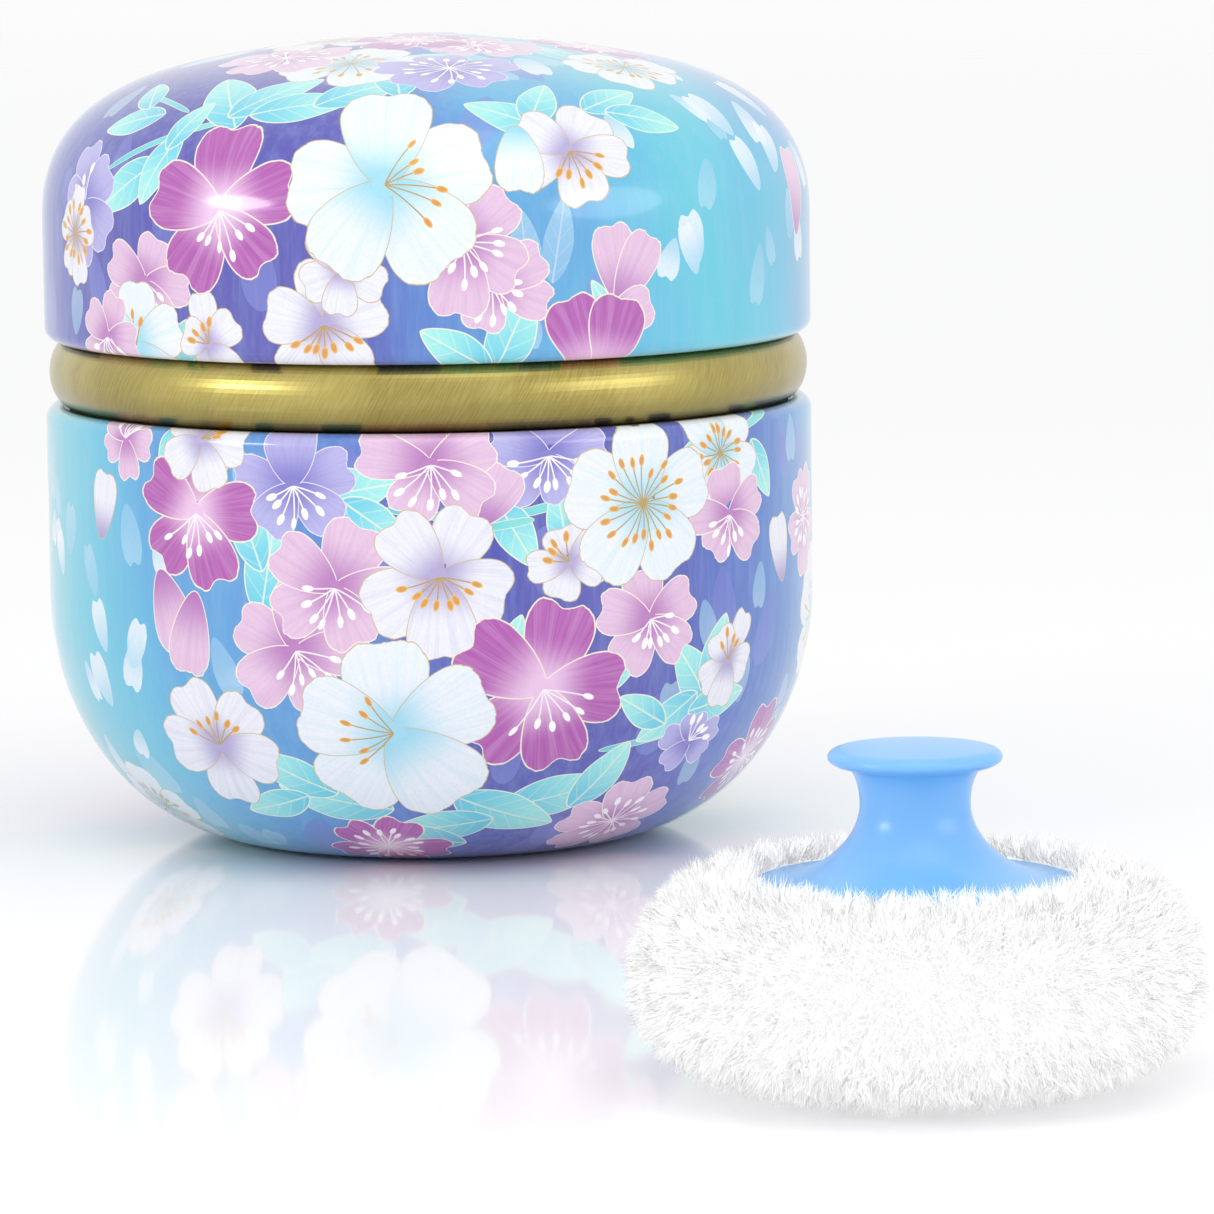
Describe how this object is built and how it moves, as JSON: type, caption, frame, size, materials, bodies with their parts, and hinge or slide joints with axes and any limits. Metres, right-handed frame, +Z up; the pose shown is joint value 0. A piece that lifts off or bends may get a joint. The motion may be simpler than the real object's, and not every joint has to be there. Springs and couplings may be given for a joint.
{
  "type": "round powder tin with puff",
  "caption": "Round drawn tin for talcum powder, with a domed push-on lid, a gold collar band, a blossom print, loose powder inside and a plush puff on a pinch handle.",
  "frame": {"origin": "centre of the tin's base, in the plane of the foot ring that it stands on", "axes": "+Z up along the tin's axis, towards the lid; -Y towards the front, where the puff stands; +X to the right"},
  "size_m": [0.0985, 0.1905, 0.0784],
  "materials": {
    "printed_tinplate": "gloss",
    "gold_lacquer": "satin",
    "talc": "matte",
    "plush": "matte",
    "foam": "matte",
    "clear_plastic": "satin",
    "thread": "matte",
    "blue_plastic": "gloss"
  },
  "bodies": {
    "tin": {"body_shell": "printed_tinplate", "collar_ring": "gold_lacquer", "powder_fill": "talc"},
    "lid": {"lid_shell": "printed_tinplate"},
    "puff": {"puff_cover": "plush", "puff_filling": "foam", "puff_washer": "clear_plastic", "puff_thread": "thread", "puff_handle": "blue_plastic"}
  },
  "joints": [
    {"name": "lid_lift", "type": "slide", "parent": "tin", "child": "lid", "axis": [0, 0, 1], "range_m": [0, 0.05]},
    {"name": "puff_lift", "type": "slide", "parent": "tin", "child": "puff", "axis": [0, 0, 1], "range_m": [0, 0.06]}
  ]
}
